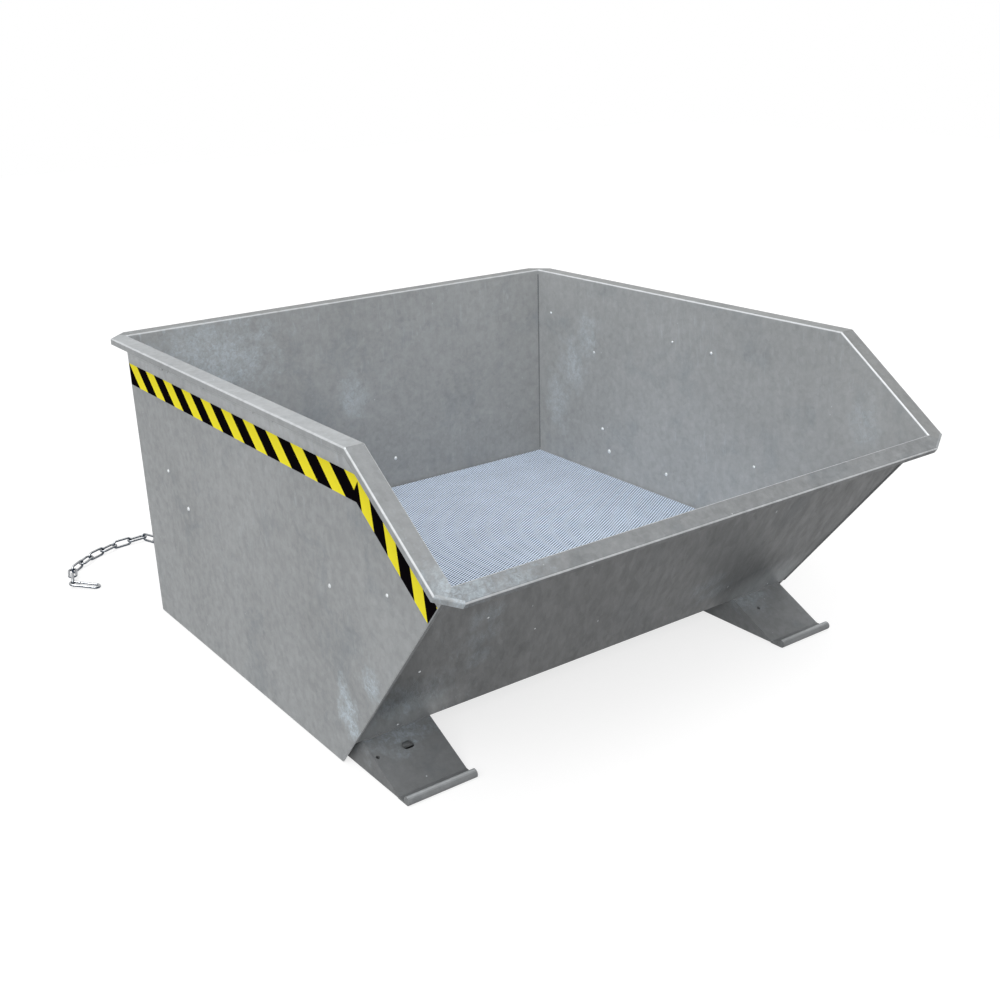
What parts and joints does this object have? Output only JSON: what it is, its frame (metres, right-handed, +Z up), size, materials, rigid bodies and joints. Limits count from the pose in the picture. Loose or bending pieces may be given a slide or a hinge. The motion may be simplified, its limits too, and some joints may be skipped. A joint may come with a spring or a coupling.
{
  "type": "tipping skip",
  "caption": "Open steel skip with a sloping front, folded rim, perforated drain sheet and fork pockets; it tips forward on pins in its noses and is tied by a chain with a snap hook.",
  "frame": {"origin": "on the ground, below the middle of the skip's outline without its chain", "axes": "+Z up, -Y towards the sloping pouring front, +X to the right seen from the front"},
  "size_m": [1.3716, 1.8127, 0.69],
  "materials": {
    "galvanised": "hot-dip galvanised, mottled",
    "perforated_sheet": "pale zinc, perforated",
    "zinc_plated": "bright zinc",
    "hazard_tape": "yellow and black stripes",
    "rubber": "matt"
  },
  "bodies": {
    "frame": {"rear_crossbar": "galvanised", "front_crossbar": "galvanised", "rest_pads": "rubber", "chain_eye": "zinc_plated", "fork_sleeve_left": "galvanised", "hinge_cheek_left_outer": "galvanised", "hinge_cheek_left_inner": "galvanised", "fork_sleeve_right": "galvanised", "hinge_cheek_right_outer": "galvanised", "hinge_cheek_right_inner": "galvanised"},
    "tub": {"back_wall": "galvanised", "front_panel": "galvanised", "floor_plate": "galvanised", "back_ledge": "galvanised", "front_ledge": "galvanised", "drain_socket": "galvanised", "drain_plug": "zinc_plated", "side_plate_left": "galvanised", "side_ledge_left": "galvanised", "hazard_tape_left": "hazard_tape", "rim_corner_rear_left": "galvanised", "rim_corner_front_left": "galvanised", "nose_plate_left": "galvanised", "nose_wall_left_outer": "galvanised", "nose_wall_left_inner": "galvanised", "toe_bar_left": "galvanised", "hinge_pin_left": "galvanised", "side_plate_right": "galvanised", "side_ledge_right": "galvanised", "hazard_tape_right": "hazard_tape", "rim_corner_rear_right": "galvanised", "rim_corner_front_right": "galvanised", "nose_plate_right": "galvanised", "nose_wall_right_outer": "galvanised", "nose_wall_right_inner": "galvanised", "toe_bar_right": "galvanised", "hinge_pin_right": "galvanised"},
    "sieve": {"sieve_sheet": "perforated_sheet"},
    "link_01": {"chain_link_01": "zinc_plated"},
    "link_02": {"chain_link_02": "zinc_plated"},
    "link_03": {"chain_link_03": "zinc_plated"},
    "link_04": {"chain_link_04": "zinc_plated"},
    "link_05": {"chain_link_05": "zinc_plated"},
    "link_06": {"chain_link_06": "zinc_plated"},
    "link_07": {"chain_link_07": "zinc_plated"},
    "link_08": {"chain_link_08": "zinc_plated"},
    "link_09": {"chain_link_09": "zinc_plated"},
    "link_10": {"chain_link_10": "zinc_plated"},
    "link_11": {"chain_link_11": "zinc_plated"},
    "link_12": {"chain_link_12": "zinc_plated"},
    "link_13": {"chain_link_13": "zinc_plated"},
    "link_14": {"chain_link_14": "zinc_plated"},
    "link_15": {"chain_link_15": "zinc_plated"},
    "link_16": {"chain_link_16": "zinc_plated"},
    "link_17": {"chain_link_17": "zinc_plated"},
    "link_18": {"chain_link_18": "zinc_plated"},
    "hook": {"hook_body": "zinc_plated", "hook_rivet": "zinc_plated"},
    "gate": {"hook_gate": "zinc_plated"}
  },
  "joints": [
    {"name": "tub_tip", "type": "hinge", "parent": "frame", "child": "tub", "pos_m": [0, -0.31314, 0.032], "axis": [1, 0, 0], "range_deg": [0, 90]},
    {"name": "sieve_lift", "type": "slide", "parent": "tub", "child": "sieve", "axis": [0, 0, 1], "range_m": [0, 0.35]},
    {"name": "link_01_swing", "type": "hinge", "parent": "frame", "child": "link_01", "pos_m": [-0.404, 0.67217, 0.029], "axis": [0, 0, 1], "range_deg": [-35, 35]},
    {"name": "link_02_lift", "type": "hinge", "parent": "link_01", "child": "link_02", "pos_m": [-0.404, 0.71687, 0.029], "axis": [-1, 0, 0], "range_deg": [-25, 25]},
    {"name": "link_03_swing", "type": "hinge", "parent": "link_02", "child": "link_03", "pos_m": [-0.404, 0.76182, 0.02077], "axis": [0, -0.18, -0.9837], "range_deg": [-35, 35]},
    {"name": "link_04_lift", "type": "hinge", "parent": "link_03", "child": "link_04", "pos_m": [-0.404, 0.80678, 0.01255], "axis": [1, 0, 0], "range_deg": [-25, 25]},
    {"name": "link_05_swing", "type": "hinge", "parent": "link_04", "child": "link_05", "pos_m": [-0.404, 0.85248, 0.01255], "axis": [0, 0, -1], "range_deg": [-35, 35]},
    {"name": "link_06_lift", "type": "hinge", "parent": "link_05", "child": "link_06", "pos_m": [-0.40719, 0.89807, 0.01255], "axis": [0.9976, 0.0698, 0], "range_deg": [-25, 25]},
    {"name": "link_07_swing", "type": "hinge", "parent": "link_06", "child": "link_07", "pos_m": [-0.41038, 0.94366, 0.01255], "axis": [0, 0, 1], "range_deg": [-35, 35]},
    {"name": "link_08_lift", "type": "hinge", "parent": "link_07", "child": "link_08", "pos_m": [-0.41831, 0.98866, 0.01255], "axis": [-0.9848, -0.1736, 0], "range_deg": [-25, 25]},
    {"name": "link_09_swing", "type": "hinge", "parent": "link_08", "child": "link_09", "pos_m": [-0.42625, 1.03367, 0.01255], "axis": [0, 0, 1], "range_deg": [-35, 35]},
    {"name": "link_10_lift", "type": "hinge", "parent": "link_09", "child": "link_10", "pos_m": [-0.44188, 1.07661, 0.01255], "axis": [-0.9397, -0.342, 0], "range_deg": [-25, 25]},
    {"name": "link_11_swing", "type": "hinge", "parent": "link_10", "child": "link_11", "pos_m": [-0.45751, 1.11955, 0.01255], "axis": [0, 0, -1], "range_deg": [-35, 35]},
    {"name": "link_12_lift", "type": "hinge", "parent": "link_11", "child": "link_12", "pos_m": [-0.50296, 1.11478, 0.01255], "axis": [-0.1045, 0.9945, 0], "range_deg": [-25, 25]},
    {"name": "link_13_swing", "type": "hinge", "parent": "link_12", "child": "link_13", "pos_m": [-0.54841, 1.11, 0.01255], "axis": [0, 0, -1], "range_deg": [-35, 35]},
    {"name": "link_14_lift", "type": "hinge", "parent": "link_13", "child": "link_14", "pos_m": [-0.58948, 1.08997, 0.01255], "axis": [-0.4384, 0.8988, 0], "range_deg": [-25, 25]},
    {"name": "link_15_swing", "type": "hinge", "parent": "link_14", "child": "link_15", "pos_m": [-0.63056, 1.06993, 0.01255], "axis": [0, 0, 1], "range_deg": [-35, 35]},
    {"name": "link_16_lift", "type": "hinge", "parent": "link_15", "child": "link_16", "pos_m": [-0.66452, 1.03935, 0.01255], "axis": [0.6691, -0.7431, 0], "range_deg": [-25, 25]},
    {"name": "link_17_swing", "type": "hinge", "parent": "link_16", "child": "link_17", "pos_m": [-0.69848, 1.00878, 0.01255], "axis": [0, 0, 1], "range_deg": [-35, 35]},
    {"name": "link_18_lift", "type": "hinge", "parent": "link_17", "child": "link_18", "pos_m": [-0.7126, 0.96531, 0.01255], "axis": [0.9511, -0.309, 0], "range_deg": [-25, 25]},
    {"name": "hook_swing", "type": "hinge", "parent": "link_18", "child": "hook", "pos_m": [-0.72672, 0.92185, 0.01255], "axis": [0, 0, 1], "range_deg": [-30, 30]},
    {"name": "gate_open", "type": "hinge", "parent": "hook", "child": "gate", "pos_m": [-0.71138, 0.92223, 0.01102], "axis": [-0.1007, 0.0786, -0.9918], "range_deg": [0, 17], "stiffness_Nm_per_rad": 0.05, "springref_deg": -11.46}
  ]
}
